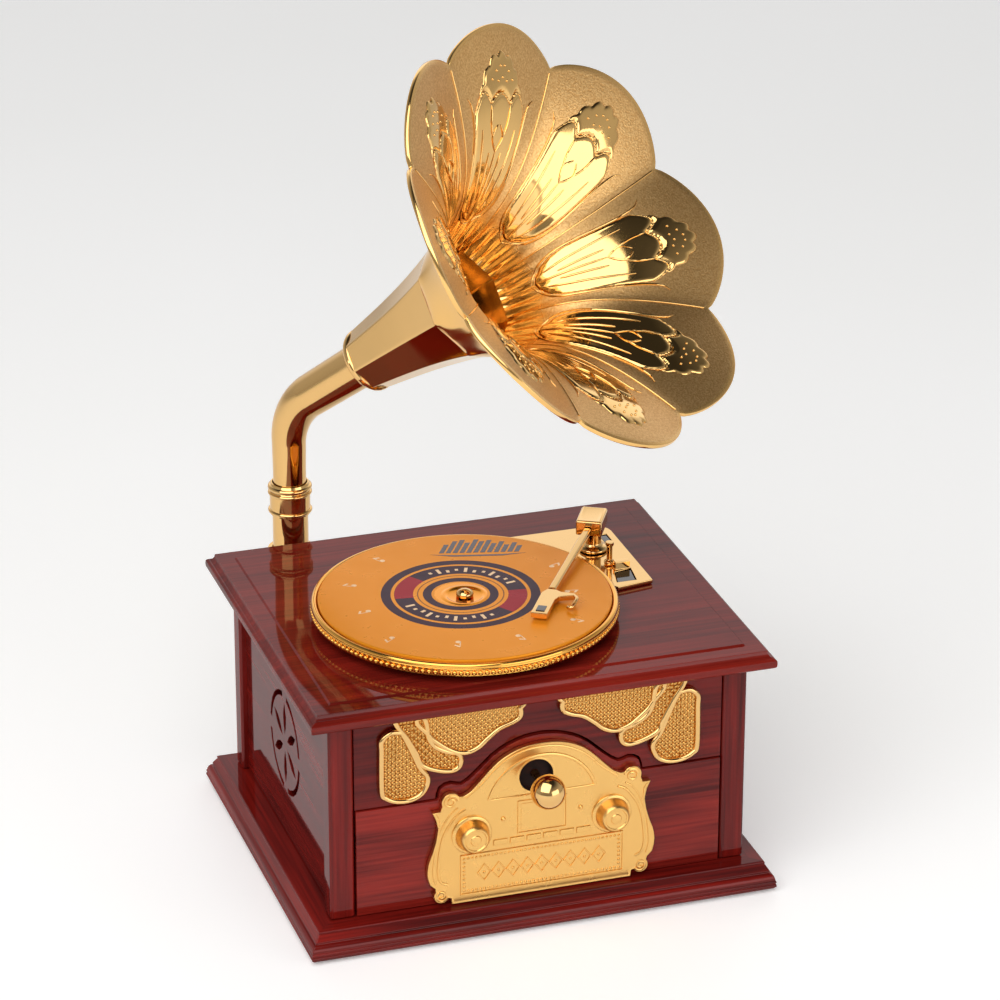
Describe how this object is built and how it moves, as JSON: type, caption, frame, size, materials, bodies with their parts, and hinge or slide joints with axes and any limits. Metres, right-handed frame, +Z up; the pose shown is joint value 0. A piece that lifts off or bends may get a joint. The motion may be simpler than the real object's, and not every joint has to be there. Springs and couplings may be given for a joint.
{
  "type": "gramophone music box",
  "caption": "Wind-up music box shaped as a horn gramophone: lacquered wooden case with a drawer, turning platter with record, tonearm and a gilt flower horn on a bent tube.",
  "frame": {"origin": "centre of the felt's underside, on the surface the box stands on", "axes": "+Z up, -Y towards the drawer front, +X to the right of someone facing the front"},
  "size_m": [0.1572, 0.1489, 0.2514],
  "materials": {
    "rosewood_lacquer": "dark red glossy lacquer",
    "inner_board": "stained, unpolished",
    "base_felt": "black felt",
    "drawer_velvet": "red velvet",
    "polished_gold": "polished gold electroplate",
    "satin_gold": "satin gold electroplate",
    "record_gold": "gold lacquered print",
    "dark_window": "dark glossy",
    "movement_brass": "machined",
    "movement_steel": "bright"
  },
  "bodies": {
    "case": {"felt_sheet": "base_felt", "base_moulding": "rosewood_lacquer", "front_left_post": "rosewood_lacquer", "front_right_post": "rosewood_lacquer", "rear_left_post": "rosewood_lacquer", "rear_right_post": "rosewood_lacquer", "left_panel": "rosewood_lacquer", "right_panel": "rosewood_lacquer", "rear_panel": "rosewood_lacquer", "upper_front_panel": "rosewood_lacquer", "shelf_board": "inner_board", "top_slab": "rosewood_lacquer", "left_grille": "polished_gold", "right_grille": "polished_gold", "deck_plate": "polished_gold", "front_deck_window": "dark_window", "rear_deck_window": "dark_window", "arm_rest": "polished_gold", "arm_pedestal": "polished_gold", "bedplate": "movement_brass", "spring_barrel": "movement_brass", "mainspring": "movement_steel", "comb": "movement_steel", "comb_screw_1": "movement_steel", "comb_screw_2": "movement_steel", "governor_frame": "movement_brass", "movement_screw_1": "movement_steel", "movement_screw_2": "movement_steel", "movement_screw_3": "movement_steel", "tube_flange": "polished_gold", "flange_screw_1": "movement_steel", "flange_screw_2": "movement_steel", "lower_tube": "polished_gold", "tube_collar": "polished_gold"},
    "drawer": {"drawer_front": "rosewood_lacquer", "drawer_bottom": "inner_board", "drawer_left_side": "inner_board", "drawer_right_side": "inner_board", "drawer_back": "inner_board", "drawer_lining": "drawer_velvet", "front_plate": "satin_gold", "pull_rod": "polished_gold", "pull_ball": "polished_gold"},
    "turntable": {"platter": "polished_gold", "record_disc": "record_gold", "spindle_cap": "polished_gold", "winding_arbor": "movement_steel", "great_wheel": "movement_brass"},
    "tonearm": {"arm_pivot_shaft": "movement_steel", "arm_head": "polished_gold", "arm_tube": "polished_gold", "headshell": "polished_gold", "stop_lever": "movement_steel"},
    "cylinder": {"music_cylinder": "movement_brass", "cylinder_wheel": "movement_brass"},
    "governor": {"governor_wheel": "movement_brass"},
    "fan": {"governor_fan": "movement_steel"},
    "horn": {"horn_tube": "polished_gold", "horn_neck": "polished_gold", "horn_bell": "satin_gold"}
  },
  "joints": [
    {"name": "platter_spin", "type": "hinge", "parent": "case", "child": "turntable", "pos_m": [-0.0092, -0.0094, 0.0808], "axis": [0, 0, 1], "continuous": true},
    {"name": "cylinder_spin", "type": "hinge", "parent": "case", "child": "cylinder", "pos_m": [-0.0092, -0.0094, 0.056], "axis": [1, 0, 0], "continuous": true},
    {"name": "governor_spin", "type": "hinge", "parent": "case", "child": "governor", "pos_m": [-0.0092, -0.0027, 0.0616], "axis": [1, 0, 0], "continuous": true},
    {"name": "fan_spin", "type": "hinge", "parent": "case", "child": "fan", "pos_m": [0.0288, 0.0019, 0.0616], "axis": [0, 0, 1], "continuous": true},
    {"name": "tonearm_swing", "type": "hinge", "parent": "case", "child": "tonearm", "pos_m": [0.0424, 0.0212, 0.0808], "axis": [0, 0, 1], "range_deg": [-12, 40]},
    {"name": "drawer_slide", "type": "slide", "parent": "case", "child": "drawer", "axis": [0, -1, 0], "range_m": [0, 0.075]},
    {"name": "horn_swivel", "type": "hinge", "parent": "case", "child": "horn", "pos_m": [-0.0417, 0.0696, 0.0808], "axis": [0, 0, 1], "continuous": true}
  ],
  "couplings": [
    {"joint": "cylinder_spin", "follows": "platter_spin", "ratio": -3},
    {"joint": "governor_spin", "follows": "platter_spin", "ratio": 12},
    {"joint": "fan_spin", "follows": "platter_spin", "ratio": -120}
  ]
}
